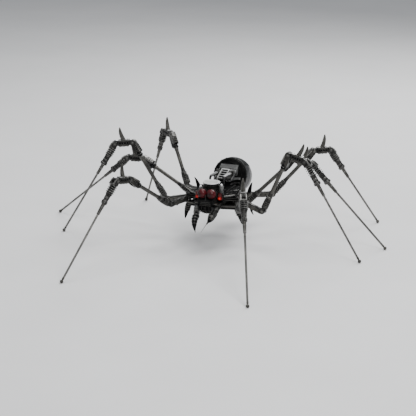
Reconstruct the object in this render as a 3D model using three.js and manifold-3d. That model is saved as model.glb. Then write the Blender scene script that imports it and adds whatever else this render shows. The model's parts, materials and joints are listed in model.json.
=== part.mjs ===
/**
 * Eight-legged walking spider robot, standing in its rest stance.
 * Units are millimetres and degrees. +Z is up, the head faces -Y, the robot's left side is +X.
 * The origin is the bottom centre of the whole robot's bounding box, on the floor.
 */
import * as THREE from 'three';
import { mergeVertices } from 'three/addons/utils/BufferGeometryUtils.js';
import Module from 'manifold-3d';

const wasm = await Module();
wasm.setup();

// ---------- Driving dimensions ----------
const FIT = 0.3;               // gap between neighbouring pieces
const SIDES = 10;              // facets on a leg sleeve
const PIN = { radius: 2, hole: 2.5, sides: 8 };
const FORK = { eye: 5.4, tongue: 5.6, gap: 6.2, outer: 10.8 };   // one hinge, seen across its pin
const BELLY = { z: 75, top: 82.7 };                              // lower chassis plate
const DECK = { z: 93.6, step: 99, top: 102.7 };                  // upper chassis plate
const HIP = { z: 88.1, height: 10, radius: 6 };                  // coxa barrel between the plates
const FOOT_RADIUS = 3.5;

const FEMUR = { length: 130.6, sleeve: 6.6, rod: 3.75, shank: 33.6, head: 30.2, knuckle: 12.5 };
const PATELLA = { length: 36, height: 12.6, width: 10.4, horn: 27.7, spike: 4, lean: 11 };
const TIBIA = { length: 213.7, sleeve: 7.3, ribs: 28.3, link: 4.8, collar: 48.2, cone: 73.9, grip: 3.1 };
const TARSUS = { rod: 2.1, peg: 1.3, depth: 9 };

// One entry per leg pair, front to back. Heading is measured from straight sideways towards the head.
const PAIRS = [
  { hip: [51.3, -34.5], reach: 55.3, scale: 1.018, spike: null,
    right: { heading: 69, shoulder: 87.4, femur: 33, patella: 8 },
    left: { heading: 68, shoulder: 87.4, femur: 30, patella: 7.5 } },
  { hip: [42.1, -15.9], reach: 60.3, scale: 1.01, spike: { at: 34, length: -15, radius: 2.8 },
    right: { heading: 10.5, shoulder: 79.3, femur: 59.5, patella: -6.5 },
    left: { heading: 9, shoulder: 74, femur: 65.5, patella: -15.5 } },
  { hip: [36.3, 7.5], reach: 17.8, scale: 1.03, spike: null,
    right: { heading: -8, shoulder: 81.8, femur: 27.5, patella: -3.5 },
    left: { heading: -6.2, shoulder: 75.5, femur: 45, patella: -8.5 } },
  { hip: [43.3, 22.7], reach: 63.3, scale: 0.924, spike: { at: 13.5, length: 27, radius: 4.2 },
    right: { heading: -42.5, shoulder: 81.1, femur: 52, patella: 1 },
    left: { heading: -39.5, shoulder: 84.8, femur: 42.8, patella: -1 } },
];

const CHASSIS = [             // half outline of both chassis plates, front to back
  [0, -46], [26, -46], [50, -41.5], [57.5, -35.5], [54.4, -29], [47.6, -22.6], [47.6, -11],
  [42.6, 1], [41.5, 16.5], [49.4, 20.5], [49.4, 26], [43, 30.5], [27, 44], [0, 46],
];
const BAY = { x: 27, front: -40, back: 40, wall: 3, floor: 79 };  // tub between the plates
const BOARD = { x: 22, y: 34, z: 89.5, thickness: 1.6, standoffX: 19, standoffY: 30 };
const BELLY_HORN = { length: 35, radius: 5.8, outwards: 15.5, forwards: 8 };
const HEAD = { half: 17.2, jaw: 12, front: -79, back: -46.4, base: 88, top: 114 };
const POST = { x: 21.5, y: -44, radius: 4.2, top: 121.8, ball: 2.6 };   // beside the turret
const TURRET = { y: -41.1, drum: 16.5, cap: 18.7, base: 114.3, seat: 124.6, top: 128, bore: 3 };
const EYE = { x: 10.1, y: -68.7, z: 112.3, radius: 9.4, rim: 10.8, socket: 9 };
const LAMP = { x: 23.2, y: -55.3, z: 100.3, width: 9.4, height: 6 };
const FANG = { x: 22.3, y: -62.6, z: 84.9, heading: 73, pitch: -34, reach: 19, length: 51.5, radius: 6.4 };
const NEEDLE_FROM = 26;         // where the left fang ends and its needle takes over
const WAIST = { x: 14, y: 39, z: 128.5, eye: 3.6, pin: 1.6, hole: 1.9, strip: 3 };
const ABDOMEN = { y: 68.1, z: 114.3, tilt: -16, radius: 34.2, wall: 2, disc: 5 };
const BATTERY = { from: 3, to: 47, half: 17, below: 20, above: 14 };
const SPIKE_LEAN = 20;         // how far the coxa spikes lean outwards

// ---------- Finishes ----------
const FINISHES = {
  gunmetal: { color: 0x3a3c3f, roughness: 0.38, metalness: 0.9 },
  black: { color: 0x151617, roughness: 0.5, metalness: 0.6 },
  steel: { color: 0x8d9094, roughness: 0.35, metalness: 0.95 },
  chrome: { color: 0xe6e7e8, roughness: 0.15, metalness: 1 },
  red_lens: { color: 0x6d1216, roughness: 0.15, metalness: 0 },
  red_lamp: { color: 0xd8261f, roughness: 0.3, metalness: 0 },
  grey: { color: 0x6a6c6e, roughness: 0.45, metalness: 0.7 },
  battery: { color: 0x26486b, roughness: 0.6, metalness: 0 },
  board: { color: 0x1d5a37, roughness: 0.55, metalness: 0 },
};

// ---------- Solid helpers ----------

/** A closed three.js geometry as a solid that can be joined and cut. */
function solid(geometry) {
  geometry.deleteAttribute('normal');
  geometry.deleteAttribute('uv');
  const merged = mergeVertices(geometry, 1e-3);
  const index = merged.index.array;
  const corners = [];
  for (let i = 0; i < index.length; i += 3) {
    const [a, b, c] = index.slice(i, i + 3);
    if (a !== b && b !== c && c !== a) corners.push(a, b, c);
  }
  const vertProperties = Float32Array.from(merged.attributes.position.array);
  const triVerts = Uint32Array.from(corners);
  return new wasm.Manifold(new wasm.Mesh({ numProp: 3, vertProperties, triVerts }));
}

const join = (...solids) => solids.reduce((whole, next) => whole.add(next));
const cut = (base, ...tools) => tools.reduce((rest, tool) => rest.subtract(tool), base);

function box([x0, x1], [y0, y1], [z0, z1]) {
  const geometry = new THREE.BoxGeometry(x1 - x0, y1 - y0, z1 - z0);
  return solid(geometry.translate((x0 + x1) / 2, (y0 + y1) / 2, (z0 + z1) / 2));
}

/** A round bar along Y through (x, z). */
function barY(radius, length, x = 0, z = 0) {
  return solid(new THREE.CylinderGeometry(radius, radius, length, PIN.sides).translate(x, 0, z));
}

/** A round bar along Z from z0 to z1. */
function barZ(radius, x, y, z0, z1, sides = SIDES, topRadius = radius) {
  const geometry = new THREE.CylinderGeometry(topRadius, radius, z1 - z0, sides).rotateX(Math.PI / 2);
  return solid(geometry.translate(x, y, (z0 + z1) / 2));
}

/** A body turned about X from [x, radius] stations; the outline starts and ends on the axis. */
function turnedX(stations, sides = SIDES) {
  const outline = stations.map(([x, radius]) => new THREE.Vector2(radius, x));
  return new THREE.LatheGeometry(outline, sides).rotateZ(-Math.PI / 2);
}

/** A plate that stands in the XZ plane, centred on y. */
function plateXZ(points, width, y = 0) {
  const shape = new THREE.Shape(points.map(([x, z]) => new THREE.Vector2(x, z)));
  const geometry = new THREE.ExtrudeGeometry(shape, { depth: width, bevelEnabled: false });
  return solid(geometry.translate(0, 0, -width / 2).rotateX(Math.PI / 2).translate(0, y, 0));
}

/** A plate that stands in the YZ plane, from x0 to x1. */
function plateYZ(points, x0, x1) {
  const shape = new THREE.Shape(points.map(([y, z]) => new THREE.Vector2(y, z)));
  const geometry = new THREE.ExtrudeGeometry(shape, { depth: x1 - x0, bevelEnabled: false });
  return solid(geometry.rotateY(Math.PI / 2).rotateX(Math.PI / 2).translate(x0, 0, 0));
}

/** A level plate from z0 to z1, mirrored about the YZ plane from its half outline. */
function levelPlate(half, z0, z1, inset = 0) {
  const inner = half.map(([x, y]) => [Math.max(0, x - inset), y - Math.sign(y) * inset]);
  const mirrored = inner.slice(1, -1).reverse().map(([x, y]) => [-x, y]);
  const shape = new THREE.Shape([...inner, ...mirrored].map(([x, y]) => new THREE.Vector2(x, y)));
  return solid(new THREE.ExtrudeGeometry(shape, { depth: z1 - z0, bevelEnabled: false }).translate(0, 0, z0));
}

/** Points of a bar with round ends, from a to b. */
function stadium([ax, az], [bx, bz], radius, steps = 3) {
  const along = Math.atan2(bz - az, bx - ax);
  const arc = (x, z, start) => Array.from({ length: steps + 1 }, (_, i) => {
    const angle = start + (Math.PI * i) / steps;
    return [x + radius * Math.cos(angle), z + radius * Math.sin(angle)];
  });
  return [...arc(bx, bz, along - Math.PI / 2), ...arc(ax, az, along + Math.PI / 2)];
}

/** A horn along X that tapers from radius to tip and bows sideways and upwards. */
function horn(length, radius, tip, bowY, bowZ, sides = 6, swell = 0.92) {
  const stations = [[0, 0], [0, radius], [length * 0.33, radius * swell], [length * 0.7, radius * 0.58]];
  stations.push([length, tip], [length, 0]);
  const geometry = turnedX(stations, sides);
  const place = geometry.attributes.position;
  for (let i = 0; i < place.count; i += 1) {
    const t = place.getX(i) / length;
    const bow = 4 * t * (1 - t);
    place.setXYZ(i, place.getX(i), place.getY(i) + bowY * bow, place.getZ(i) + bowZ * bow);
  }
  return geometry;
}

// ---------- Hinge pieces, drawn about the pin at (x, z) ----------

/** Two cheeks and the pin between them; the cheeks reach back towards x = from. */
function fork(from, x, z) {
  const thickness = (FORK.outer - FORK.gap) / 2;
  const offset = (FORK.outer + FORK.gap) / 4;
  const outline = stadium([from, z], [x, z], FORK.eye);
  const cheeks = [-offset, offset].map((y) => plateXZ(outline, thickness, y));
  return join(...cheeks, barY(PIN.radius, FORK.outer - 0.4, x, z));
}

/** A flat eye that turns on a fork's pin; the neck reaches to x = to. */
function tongue(to, x = 0) {
  return plateXZ(stadium([x, 0], [to, 0], FORK.eye - 0.4), FORK.tongue);
}

const pinHole = (x = 0, z = 0) => barY(PIN.hole, 20, x, z);

// ---------- Leg pieces ----------

/** Hip link: a barrel on the hip pin, an arm, and the shoulder fork. */
function coxa(reach, shoulder, spike) {
  const half = HIP.height / 2;
  const drop = shoulder - HIP.z;
  const end = reach - FORK.eye - 1.4;
  const stub = Math.min(8, end - 1);
  const arm = plateXZ([
    [0, -half], [stub, -half], [end, drop - FORK.eye], [end, drop + FORK.eye], [stub, half], [0, half],
  ], 8.6);
  const barrel = barZ(HIP.radius, 0, 0, -half, half);
  let body = join(barrel, arm, fork(reach - 4, reach, drop));
  if (spike) {
    const base = (drop * (spike.at - stub)) / (end - stub);
    const up = Math.sign(spike.length);
    const pointer = horn(Math.abs(spike.length), spike.radius, 0.7, 0, 0);
    pointer.rotateY(-up * THREE.MathUtils.degToRad(90 - SPIKE_LEAN));
    body = join(body, solid(pointer.translate(spike.at, 0, base + up * 3)));
  }
  return cut(body, barZ(PIN.hole, 0, 0, -half - 1, half + 1, PIN.sides));
}

/** Thigh: motor sleeve, slender rod, upper sleeve and the knee fork. */
function femur(length) {
  const { sleeve, rod, shank, head, knuckle } = FEMUR;
  const top = length - head;
  const body = turnedX([
    [7.4, 0], [7.4, sleeve], [24, sleeve], [shank, 5], [shank + 9, rod],
    [top - 2, rod], [top, 6.3], [length - knuckle, 6.3], [length - knuckle, 0],
  ]);
  const eye = cut(tongue(9), pinHole());
  return join(eye, solid(body), fork(length - knuckle - 2, length, 0));
}

/** Knee link: a box between two eyes, with a horn on top. */
function patella(length) {
  const half = PATELLA.height / 2;
  const near = FORK.eye + 1.2;
  const far = length - near;
  const block = plateXZ([
    [near, -half + 2], [near + 2, -half], [far - 2, -half], [far, -half + 2],
    [far, half - 1], [far - 1, half], [near + 1, half], [near, half - 1],
  ], PATELLA.width);
  const middle = (near + far) / 2;
  const spike = horn(PATELLA.horn, PATELLA.spike, 0.8, 0, 1.6, 8);
  spike.rotateY(THREE.MathUtils.degToRad(PATELLA.lean - 90)).translate(middle, 0, half - 1);
  const window = barY(2.2, 20, middle, 0);
  return cut(join(block, tongue(length), solid(spike)), pinHole(), pinHole(length), window);
}

/** Shin: fork, ribbed motor sleeve, slimmer link, collar and the cone that grips the tarsus. */
function tibia(length) {
  const { sleeve, ribs, link, collar, cone, grip } = TIBIA;
  const bore = TARSUS.peg + FIT;
  const body = turnedX([
    [7.6, 0], [7.6, sleeve], [ribs - 3, sleeve], [ribs + 2, link], [collar - 2.4, link],
    [collar - 2.4, 5.2], [collar + 1.6, 5.2], [collar + 1.6, grip + 0.6], [cone, grip],
    [cone, bore], [cone - TARSUS.depth, bore], [cone - TARSUS.depth, 0],
  ]);
  return join(solid(body), fork(9, 0, 0));
}

/** Foot rod with a ball at its end, on a peg that sits in the tibia's cone. */
function tarsus(length) {
  const { rod, peg, depth } = TARSUS;
  const start = TIBIA.cone + FIT;
  const ball = Array.from({ length: 4 }, (_, i) => {
    const angle = (Math.PI * (1 + i)) / 4;
    return [length - FOOT_RADIUS * Math.cos(angle), FOOT_RADIUS * Math.sin(angle)];
  });
  ball[ball.length - 1][1] = 0;
  const neck = length - Math.sqrt(FOOT_RADIUS ** 2 - rod ** 2) - 0.4;
  const end = start - depth + FIT;
  const outline = [[end, 0], [end, peg], [start, peg], [start, rod], [neck, rod]];
  return turnedX([...outline, ...ball.slice(1)], 8);
}

// ---------- Chassis ----------

const hips = PAIRS.flatMap(({ hip: [x, y] }) => [[x, y], [-x, y]]);

/** Lower plate with the electronics tub, eight hip pins and the two belly horns. */
function thoraxFrame() {
  const { x, front, back, wall, floor } = BAY;
  const top = DECK.z - FIT;
  let frame = join(
    levelPlate(CHASSIS, BELLY.z, BELLY.top),
    box([-x, x], [front, back], [BELLY.top - 1, top]),
    ...hips.map(([hx, hy]) => barZ(PIN.radius, hx, hy, BELLY.top - 1, top - FIT, PIN.sides)),
  );
  frame = cut(frame, box([wall - x, x - wall], [front + wall, back - wall], [floor, top + 1]));
  const [hx, hy] = PAIRS[0].hip;
  const horns = [1, -1].map((side) => {
    const pointer = horn(BELLY_HORN.length, BELLY_HORN.radius, 0.7, 0, 0, 8);
    pointer.rotateY(THREE.MathUtils.degToRad(90 - BELLY_HORN.outwards));
    pointer.rotateX(THREE.MathUtils.degToRad(BELLY_HORN.forwards));
    pointer.translate(hx - 0.5, hy, BELLY.z + 1.5);
    return solid(side > 0 ? pointer : mirrorX(pointer));
  });
  return join(frame, ...horns);
}

/** Mirror a geometry to the other side and turn its faces the right way round again. */
function mirrorX(geometry) {
  geometry.scale(-1, 1, 1);
  const { index } = geometry;
  for (let i = 0; i < index.count; i += 3) {
    const first = index.getX(i);
    index.setX(i, index.getX(i + 1));
    index.setX(i + 1, first);
  }
  return geometry;
}

function thoraxCover() {
  return join(levelPlate(CHASSIS, DECK.z, DECK.step), levelPlate(CHASSIS, DECK.step - 1, DECK.top, 4));
}

function controlBoard() {
  const { x, y, z, thickness, standoffX, standoffY } = BOARD;
  const face = z + thickness - 0.1;
  const board = box([-x, x], [-y, y], [z, z + thickness]);
  const chip = box([-7, 7], [-12, 2], [face, face + 1.6]);
  const socket = box([-18, -9], [20, 30], [face, face + 2]);
  const corners = [-1, 1].flatMap((sx) => [-1, 1].map((sy) => [sx * standoffX, sy * standoffY]));
  const standoffs = corners.map(([sx, sy]) => barZ(2, sx, sy, BAY.floor + FIT, z + 0.1, 8));
  return join(board, chip, socket, ...standoffs);
}

// ---------- Head and turret ----------

/** Brow direction of an eye: mostly forward, a little up and outwards. */
const gaze = (side) => new THREE.Vector3(0.2 * side, -0.91, 0.36).normalize();

function eyeSocket(side) {
  const tube = new THREE.CylinderGeometry(EYE.rim, EYE.rim - 1.5, EYE.socket, 14);
  tube.translate(0, -EYE.socket / 2, 0);
  tube.applyQuaternion(new THREE.Quaternion().setFromUnitVectors(new THREE.Vector3(0, 1, 0), gaze(side)));
  return solid(tube.translate(EYE.x * side, EYE.y, EYE.z));
}

function headHousing() {
  const { half, jaw, front, back, base, top } = HEAD;
  const skull = plateYZ([
    [back, base], [front + 6, base], [front, base + 4], [front + 1, 100], [front + 9, 107], [-62, top],
    [-24, top], [-24, DECK.top + FIT], [back, DECK.top + FIT],
  ], -half, half);
  const chin = plateYZ([
    [back, 79], [-52, 73], [-60, 71], [-70, 72], [-76, 80], [-75, 90], [back, 90],
  ], -jaw, jaw);
  const sides = [1, -1].flatMap((side) => {
    const mount = side * LAMP.x;
    return [
      box([mount - side * 7, mount + side * 5].sort((a, b) => a - b), [LAMP.y + FIT, back], [90, 110]),
      box([mount - side * 7, mount + side * 4.5].sort((a, b) => a - b), [-70, back], [base, base + 4]),
      barZ(POST.radius, side * POST.x, POST.y, DECK.top + FIT, POST.top),
      solid(new THREE.SphereGeometry(POST.ball, 8, 6).translate(side * POST.x, POST.y, POST.top + 1.9)),
      eyeSocket(side),
    ];
  });
  const pockets = [1, -1].map((side) => {
    const pocket = new THREE.SphereGeometry(EYE.radius + FIT, 12, 8);
    return solid(pocket.translate(EYE.x * side, EYE.y, EYE.z));
  });
  return cut(join(skull, chin, ...sides), ...pockets);
}

const eyeLens = (side) => solid(new THREE.SphereGeometry(EYE.radius, 12, 8)
  .translate(EYE.x * side, EYE.y, EYE.z));

/** Running light: a wide lamp with a square marker above it. */
function sideLamp(side) {
  const { x, y, z, width, height } = LAMP;
  const lamp = box([-width / 2, width / 2], [-5, 0], [-height / 2, height / 2]);
  const marker = box([-3.5, 3.5], [-3.5, 0], [height / 2 - 0.5, height / 2 + 7.5]);
  return join(lamp, marker).translate([x * side, y, z]);
}

function turretDrum() {
  const { y, drum, base, seat, bore } = TURRET;
  const groove = barZ(drum - 1.4, 0, y, base + 3, base + 6, 24);
  const body = join(barZ(drum, 0, y, base, base + 3, 24), groove, barZ(drum, 0, y, base + 6, seat, 24));
  return cut(body, barZ(bore, 0, y, base + 2, seat + 1));
}

function turretCap() {
  const { y, cap, seat, top, bore } = TURRET;
  const spindle = barZ(bore - FIT, 0, y, seat - 7, seat + 1);
  const plate = join(barZ(cap, 0, y, seat + FIT, top - 1, 28), barZ(cap, 0, y, top - 1, top, 28, cap - 1));
  return join(plate, spindle);
}

// ---------- Jaws, drawn along X from the fang pivot ----------

function chelicera() {
  const barrel = turnedX([
    [-30, 0], [-30, 5.2], [-10, 5.2], [-9, 6], [-7, 6], [-6.6, 4.6], [-6.6, 0],
  ]);
  return cut(join(solid(barrel), tongue(-9)), pinHole());
}

/** Curved claw; the hollow tip on one side carries the needle. */
function fang(side, length, tip, socket) {
  const blade = horn(length - 7, FANG.radius, tip, 3 * side, 2.5, 10, 1.06);
  const claw = join(solid(blade.translate(7, 0, 0)), fork(9, 0, 0));
  return socket ? cut(claw, solid(new THREE.CylinderGeometry(0.9, 0.9, 8, 8).rotateZ(Math.PI / 2)
    .translate(length, 0, 0))) : claw;
}

function needle(start) {
  const { length } = FANG;
  return turnedX([[start - 3.4, 0], [start - 3.4, 0.6], [start + 2, 0.6], [length - 4, 0.4], [length, 0]], 8);
}

// ---------- Waist and abdomen ----------

/** Two strips that rise from the deck behind the head and run back to the abdomen's pins. */
function waistYoke() {
  const { x, y, z, eye, hole, strip } = WAIST;
  const foot = box([-18, 18], [-20, -8], [DECK.top + FIT, DECK.top + 3]);
  const outline = [
    [-17, DECK.top + 1], [-12, DECK.top + 1], [-12, 124], [-8, 127.5], [y - 4, z - 3.4], [y, z - eye],
    [y + 2.6, z - 2.5], [y + eye, z], [y + 2.6, z + 2.5], [y, z + eye], [y - 8, z + 3], [-8, 133.5],
    [-13, 133.5], [-17, 129],
  ];
  const strips = [1, -1].map((side) => plateYZ(outline, side * x - strip / 2, side * x + strip / 2));
  const bore = solid(new THREE.CylinderGeometry(hole, hole, 50, 10).rotateZ(Math.PI / 2).translate(0, y, z));
  return cut(join(foot, ...strips), bore);
}

/** Sloping deck on the abdomen's front, with the lugs and pins that the yoke holds. */
function abdomenPlate() {
  const { x, y, z, pin, strip } = WAIST;
  const wedge = plateYZ([
    [24, 118.4], [57, 130.5], [68, 137.4], [67.4, 133], [62.8, 118], [59, 114], [24, 115.4],
  ], -18.7, 18.7);
  const slots = [0, 1, 2, 3].map((i) => box([-13.5, 0], [29 + i * 6.5, 32.6 + i * 6.5], [100, 140]));
  const inner = x + strip / 2 + FIT;
  const lugs = [1, -1].flatMap((side) => {
    const plate = plateYZ([[y - 5, z - 7], [y - 4.5, z + 3], [y + 4.5, z + 3], [y + 8, z - 6]], 0, 2.6);
    const stub = new THREE.CylinderGeometry(pin, pin, strip + 1.4, 10).rotateZ(Math.PI / 2);
    return [
      plate.translate([side > 0 ? inner : -inner - 2.6, 0, 0]),
      solid(stub.translate(side * (inner + 0.7 - strip / 2 - 0.1), y, z)),
    ];
  });
  return join(cut(wedge, ...slots), ...lugs);
}

/** Outline stations of the abdomen along its own axis, from the rim to the tail. */
function abdomenOutline(inset) {
  const stations = [[0, 34.2], [9, 36.2], [20, 37], [33, 35.6], [46, 31.5], [58, 24.5], [67, 15], [72, 6]];
  return stations.map(([along, radius]) => [along * (1 - inset / 75), radius - inset]);
}

function abdomenShell() {
  const outer = abdomenOutline(0);
  const inner = abdomenOutline(ABDOMEN.wall).reverse();
  return turnedX([[69.5, 0], ...inner, ...outer, [73.5, 0]], 24);
}

function abdomenBulkhead() {
  const { radius, disc } = ABDOMEN;
  return turnedX([
    [-disc, 0], [-disc, radius - 6], [-disc + 1.5, radius - 2], [-FIT, radius - 0.4], [-FIT, 0],
  ], 24);
}

// ---------- Assembly ----------

const robot = new THREE.Group();
const radians = THREE.MathUtils.degToRad;

function asGeometry(body) {
  if (body.isBufferGeometry) return body;
  const { vertProperties, triVerts } = body.getMesh();
  const geometry = new THREE.BufferGeometry();
  geometry.setAttribute('position', new THREE.BufferAttribute(vertProperties, 3));
  geometry.setIndex(new THREE.BufferAttribute(triVerts, 1));
  geometry.computeVertexNormals();
  return geometry;
}

function add(parent, name, body, finish) {
  const mesh = new THREE.Mesh(asGeometry(body), new THREE.MeshStandardMaterial(FINISHES[finish]));
  mesh.name = name;
  parent.add(mesh);
  return mesh;
}

/** A frame turned to a heading and pitched up by an angle, with X along the piece it carries. */
function joint(parent, name, x, y, z, yaw, pitch) {
  const group = new THREE.Group();
  group.name = name;
  group.position.set(x, y, z);
  group.rotation.set(0, -radians(pitch), radians(yaw), 'ZYX');
  parent.add(group);
  return group;
}

function addLeg(pair, number, sideName) {
  const side = sideName === 'left' ? 1 : -1;
  const stance = pair[sideName];
  const name = `${sideName}_leg${number}`;
  const [hx, hy] = pair.hip;
  const yaw = side > 0 ? -stance.heading : 180 + stance.heading;
  const thigh = FEMUR.length * pair.scale;
  const shin = TIBIA.length * pair.scale;
  const kneeHeight = stance.shoulder + thigh * Math.sin(radians(stance.femur));
  const ankleHeight = kneeHeight + PATELLA.length * Math.sin(radians(stance.patella));
  const shinPitch = -THREE.MathUtils.radToDeg(Math.asin((ankleHeight - FOOT_RADIUS) / shin));

  const hip = joint(robot, `${name}_swing`, side * hx, hy, HIP.z, yaw, 0);
  add(hip, `${name}_coxa`, coxa(pair.reach, stance.shoulder, pair.spike), 'gunmetal');
  const shoulder = joint(hip, `${name}_lift`, pair.reach, 0, stance.shoulder - HIP.z, 0, stance.femur);
  add(shoulder, `${name}_femur`, femur(thigh), 'gunmetal');
  const knee = joint(shoulder, `${name}_knee`, thigh, 0, 0, 0, stance.patella - stance.femur);
  add(knee, `${name}_patella`, patella(PATELLA.length), 'gunmetal');
  const ankle = joint(knee, `${name}_bend`, PATELLA.length, 0, 0, 0, shinPitch - stance.patella);
  add(ankle, `${name}_tibia`, tibia(shin), 'gunmetal');
  add(ankle, `${name}_tarsus`, tarsus(shin), 'steel');
}

function addJaw(sideName) {
  const side = sideName === 'left' ? 1 : -1;
  const yaw = side > 0 ? 180 + FANG.heading : -FANG.heading;
  const root = joint(robot, `${sideName}_jaw`, side * FANG.x, FANG.y, FANG.z, yaw, FANG.pitch);
  const pivot = joint(root, `${sideName}_fang_hinge`, FANG.reach, 0, 0, 0, 0);
  const flush = box([-60, 60], [-120, 0], [HEAD.base - FIT, 160]);
  root.updateWorldMatrix(true, true);
  const inverse = pivot.matrixWorld.clone().invert();
  const ceiling = flush.transform(inverse.elements);
  add(pivot, `${sideName}_chelicera`, cut(chelicera(), ceiling), 'grey');
  if (side > 0) {
    add(pivot, `${sideName}_fang`, fang(side, NEEDLE_FROM, 1.7, true), 'black');
    add(pivot, 'needle', needle(NEEDLE_FROM), 'steel');
  } else {
    add(pivot, `${sideName}_fang`, fang(side, FANG.length, 0.8, false), 'black');
  }
}

function addAbdomen() {
  const tail = joint(robot, 'abdomen_axis', 0, ABDOMEN.y, ABDOMEN.z, 90, ABDOMEN.tilt);
  add(tail, 'abdomen_shell', abdomenShell(), 'gunmetal');
  add(tail, 'abdomen_bulkhead', abdomenBulkhead(), 'black');
  const { from, to, half, below, above } = BATTERY;
  add(tail, 'battery_pack', box([from, to], [-half, half], [-below, above]), 'battery');
  add(robot, 'abdomen_top_plate', abdomenPlate(), 'grey');
}

add(robot, 'thorax_frame', thoraxFrame(), 'gunmetal');
add(robot, 'thorax_top_cover', thoraxCover(), 'gunmetal');
add(robot, 'control_board', controlBoard(), 'board');
add(robot, 'head_housing', headHousing(), 'black');
add(robot, 'turret_drum', turretDrum(), 'black');
add(robot, 'turret_cap', turretCap(), 'chrome');
add(robot, 'waist_yoke', waistYoke(), 'chrome');
['left', 'right'].forEach((sideName) => {
  const side = sideName === 'left' ? 1 : -1;
  add(robot, `${sideName}_eye_lens`, eyeLens(side), 'red_lens');
  add(robot, `${sideName}_side_lamp`, sideLamp(side), 'red_lamp');
  addJaw(sideName);
});
addAbdomen();
PAIRS.forEach((pair, index) => {
  addLeg(pair, index + 1, 'left');
  addLeg(pair, index + 1, 'right');
});

// Put the origin at the bottom centre of the bounding box.
robot.updateMatrixWorld(true);
const bounds = new THREE.Box3().setFromObject(robot, true);
const middle = bounds.getCenter(new THREE.Vector3());
robot.position.set(-middle.x, -middle.y, -bounds.min.z);
robot.updateMatrixWorld(true);

export default robot;
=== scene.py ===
"""Looks of the eight-legged spider robot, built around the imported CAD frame.

Shapes are drawn in millimetres in a local frame and placed in metres by a matrix. Leg frames come from the
joints: X runs along the link, Y along the hinge pin and Z away from the floor.
"""
import json
from math import acos, copysign, cos, pi, radians, sin, sqrt

import bmesh
import bpy
from mathutils import Matrix, Vector


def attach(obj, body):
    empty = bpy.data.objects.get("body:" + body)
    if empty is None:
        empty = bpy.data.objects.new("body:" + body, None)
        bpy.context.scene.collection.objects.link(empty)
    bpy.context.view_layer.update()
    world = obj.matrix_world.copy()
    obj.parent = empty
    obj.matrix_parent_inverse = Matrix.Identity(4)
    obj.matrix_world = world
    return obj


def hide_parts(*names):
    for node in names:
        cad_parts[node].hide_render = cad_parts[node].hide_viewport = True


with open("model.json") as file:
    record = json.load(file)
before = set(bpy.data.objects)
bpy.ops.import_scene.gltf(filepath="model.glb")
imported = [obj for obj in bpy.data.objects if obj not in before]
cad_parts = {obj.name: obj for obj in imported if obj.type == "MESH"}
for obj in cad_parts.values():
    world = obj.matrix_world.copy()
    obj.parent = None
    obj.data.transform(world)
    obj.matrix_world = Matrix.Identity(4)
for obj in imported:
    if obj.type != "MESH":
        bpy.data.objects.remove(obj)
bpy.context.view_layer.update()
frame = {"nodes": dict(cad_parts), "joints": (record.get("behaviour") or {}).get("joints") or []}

MM = 0.001
JOINTS = {joint["name"]: joint for joint in frame["joints"]}
LEGS = [name[:-len("_swing")] for name in JOINTS if name.endswith("_swing")]
UP = Vector((0, 0, 1))

# ---------- Driving sizes, millimetres and degrees ----------
HANDS = ((1, "left"), (-1, "right"))                # the robot's left is +X
SIDES = 28                        # facets round a turned body, unless it says otherwise
PIN = {"radius": 2.0, "hole": 2.4, "half_length": 5.2}
CHEEK = {"y": 4.25, "thick": 2.3}                   # the two plates of a fork
TONGUE = 5.6                      # thickness of the eye between two cheeks
FOOT = 3.5                        # radius of the ball foot
ROD_START = 73.9                  # from the ankle pin to where the foot rod leaves the shin
SPIKES = {2: (34, -15, 2.8), 4: (13.5, 27, 4.2)}    # leg: place on the coxa, length (minus is down), radius
LOW_SPIKE_LEAN = 20               # lower coxa spikes, outwards from straight down
HIGH_SPIKE = (0.3, -0.21, 0.93)   # direction of the upper coxa spikes, for a leg on the robot's left
HORN_LEAN = 11                    # patella horns, towards the foot from straight out
BELLY = 75.0                      # underside of the chassis
COVER = 93.6                      # underside of the top cover
DECK_TOP = 102.7                  # top of the cover
TURRET = {"y": -41.1, "z": 114.3}                   # foot of the turret's axis
EYE = {"x": 9.2, "y": -69.2, "z": 110.6, "radius": 9.4}
LAMP = {"x": 23.2, "y": -55.6, "z": 100.3}
POST = {"x": 21.5, "y": -44, "rise": {1: 18.6, -1: 11.8}}
FANG_PITCH = -34                  # slope of the jaws
FANG_LENGTH = {1: 26, -1: 51.5}
WAIST = {"x": 14, "y": 39, "z": 128.5, "pin": 1.6}  # pins of the waist yoke, pin is their radius
DECK = {"y": 24, "z": 118.4, "slope": 12.1 / 33}    # front edge and rise of the abdomen's deck
ABDOMEN = {"behind": 29.1, "below": 14.2, "tilt": -16, "radius": 37.0, "widest": 20, "tail": 53.6}

turret_axis = Vector(JOINTS["turret_yaw"]["pos_m"])
CHASSIS = Matrix.Translation((turret_axis.x, turret_axis.y - TURRET["y"] * MM, 0)) @ Matrix.Scale(MM, 4)


# ---------- Materials ----------

PATCH_SCALE = 60                  # noise scale of the patches of tone
TONE_STOPS = (0.32, 0.52, 0.72)   # dark, middle and light tone along the noise
GRAIN_STOPS = (0.3, 0.7)
GRAIN_DEPTH = 0.0004              # metres


def node_material(name):
    material = bpy.data.materials.new(name)
    material.use_nodes = True
    nodes = material.node_tree.nodes
    return material, nodes, material.node_tree.links, nodes["Principled BSDF"]


def noise(nodes, links, coordinates, scale, detail, stretch=(1, 1, 1)):
    mapping = nodes.new("ShaderNodeMapping")
    mapping.inputs["Scale"].default_value = stretch
    links.new(coordinates, mapping.inputs["Vector"])
    texture = nodes.new("ShaderNodeTexNoise")
    texture.inputs["Scale"].default_value = scale
    texture.inputs["Detail"].default_value = detail
    texture.inputs["Roughness"].default_value = 0.6
    links.new(mapping.outputs["Vector"], texture.inputs["Vector"])
    return texture.outputs["Fac"]


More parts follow.
